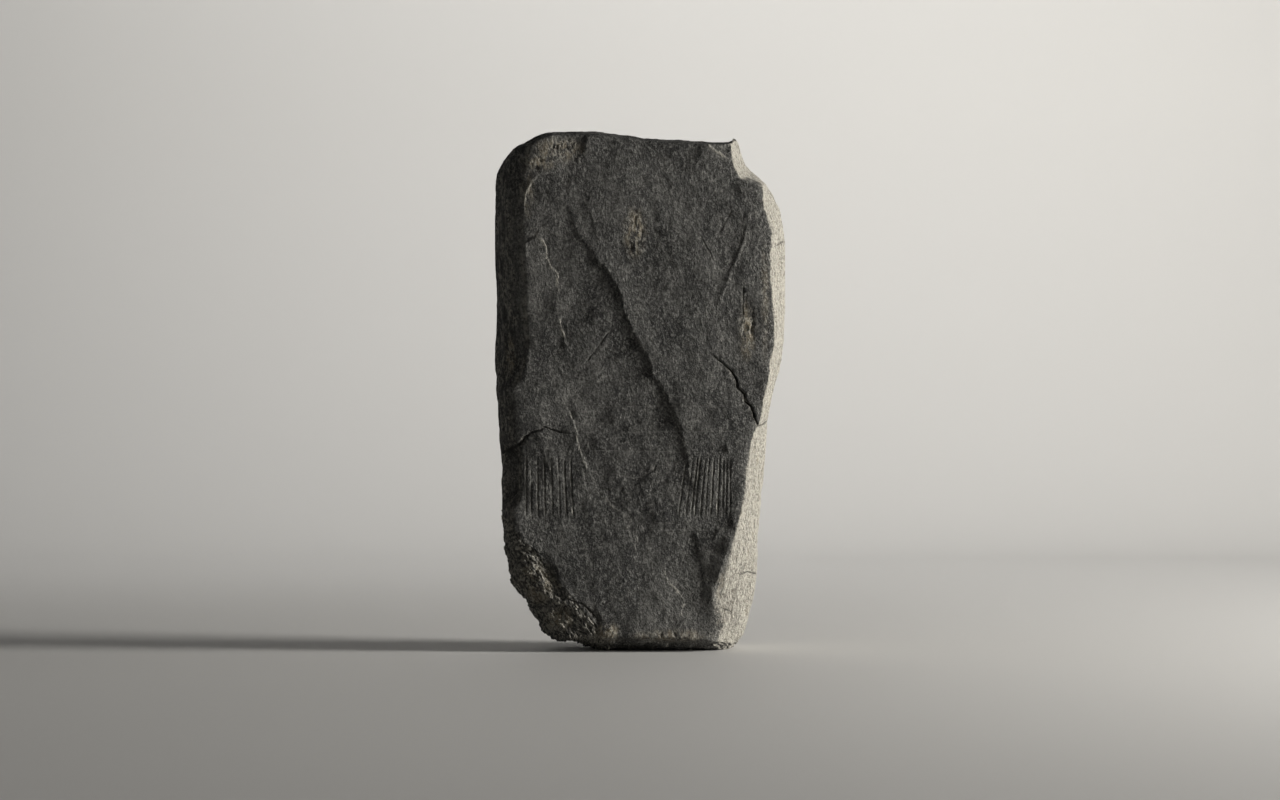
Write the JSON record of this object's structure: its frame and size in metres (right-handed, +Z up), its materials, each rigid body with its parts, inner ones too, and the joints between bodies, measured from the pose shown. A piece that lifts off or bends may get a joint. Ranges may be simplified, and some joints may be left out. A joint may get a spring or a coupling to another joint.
{
  "type": "stele",
  "caption": "Upright slab stele of dark grey schist, one metre tall, with finely cut belt and fringe lines, a broken lower left corner and rough split sides.",
  "frame": {"origin": "middle of the bounding box in plan, on the ground plane under the flat underside", "axes": "+X to the right as seen from the carved front, +Y toward the plain back, +Z up along the height of the slab"},
  "size_m": [0.563, 0.224, 1],
  "materials": {
    "stone": "split and weathered dark schist, fine grained, matte, with worn cut lines"
  },
  "bodies": {
    "root": {"stele": "stone"}
  },
  "joints": []
}
